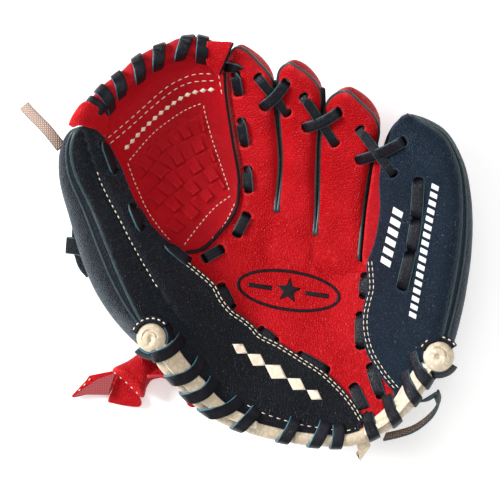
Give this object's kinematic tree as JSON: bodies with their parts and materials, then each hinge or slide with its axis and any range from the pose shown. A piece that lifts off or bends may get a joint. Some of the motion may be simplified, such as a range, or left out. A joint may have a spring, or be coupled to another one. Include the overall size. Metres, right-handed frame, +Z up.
{
  "type": "baseball glove",
  "caption": "Fielder's glove for the left hand: padded palm, five finger stalls, closed web, laced seams and rolled heel, lying palm up; its thumb and little-finger sides fold in.",
  "frame": {"origin": "under the middle of the glove's box, without its two free lace tails, on the surface it lies on", "axes": "+Z up, with the palm facing up; +Y towards the fingertips; +X towards the little finger"},
  "size_m": [0.2271, 0.2162, 0.0761],
  "materials": {
    "red_leather": "pebbled grain, satin",
    "black_leather": "pebbled grain, satin",
    "navy_leather": "pebbled grain, satin",
    "welt": "smooth, satin",
    "lace": "smooth with dyed edges",
    "cream_leather": "soft, matt",
    "lining": "suede",
    "felt": "felt",
    "insert": "moulded"
  },
  "bodies": {
    "palm": {"palm_shell": "red_leather", "heel_center_panel": "black_leather", "palm_pad": "felt", "palm_liner": "lining", "index_front": "red_leather", "index_back": "red_leather", "index_welt": "welt", "index_liner": "lining", "middle_front": "red_leather", "middle_back": "red_leather", "middle_welt": "welt", "middle_liner": "lining", "ring_front": "red_leather", "ring_back": "red_leather", "ring_welt": "welt", "ring_liner": "lining", "web_front_panel": "red_leather", "web_back_panel": "red_leather", "web_top_roll": "red_leather", "web_top_lace": "lace", "web_index_lace": "lace", "web_base_lace": "lace", "index_middle_lace": "lace", "middle_ring_lace": "lace", "ring_pinky_lace": "lace", "palm_lace_left": "lace", "palm_lace_right": "lace", "heel_roll_center": "cream_leather", "heel_lace_center": "lace", "hand_back_panel": "black_leather", "wrist_strap_center": "red_leather"},
    "thumb_side": {"thumb_front": "black_leather", "thumb_back": "black_leather", "thumb_welt": "welt", "thumb_liner": "lining", "thumb_insert": "insert", "web_thumb_lace": "lace", "heel_roll_thumb": "cream_leather", "heel_lace_thumb": "lace", "thumb_tip_loop": "red_leather", "thumb_loop": "lace", "thumb_loop_keeper": "lace", "web_lace_tail": "lace", "wrist_strap_thumb": "red_leather", "strap_knot": "red_leather", "strap_tail_long": "red_leather", "strap_tail_short": "red_leather"},
    "pinky_side": {"pinky_front": "navy_leather", "pinky_back": "navy_leather", "pinky_welt": "welt", "pinky_liner": "lining", "pinky_insert": "insert", "pinky_lace": "lace", "heel_roll_pinky": "cream_leather", "heel_lace_pinky": "lace", "wrist_strap_pinky": "red_leather", "wrist_lace_loop": "lace", "heel_tab": "cream_leather"}
  },
  "joints": [
    {"name": "thumb_fold", "type": "hinge", "parent": "palm", "child": "thumb_side", "pos_m": [-0.03165, -0.07393, 0.048], "axis": [-0.3112, 0.9477, 0.0707], "range_deg": [0, 40], "stiffness_Nm_per_rad": 0.6},
    {"name": "pinky_fold", "type": "hinge", "parent": "palm", "child": "pinky_side", "pos_m": [0.04635, -0.09592, 0.042], "axis": [-0.0671, -0.9941, -0.0854], "range_deg": [0, 30], "stiffness_Nm_per_rad": 0.6, "deforming": ["ring_pinky_lace"]}
  ]
}
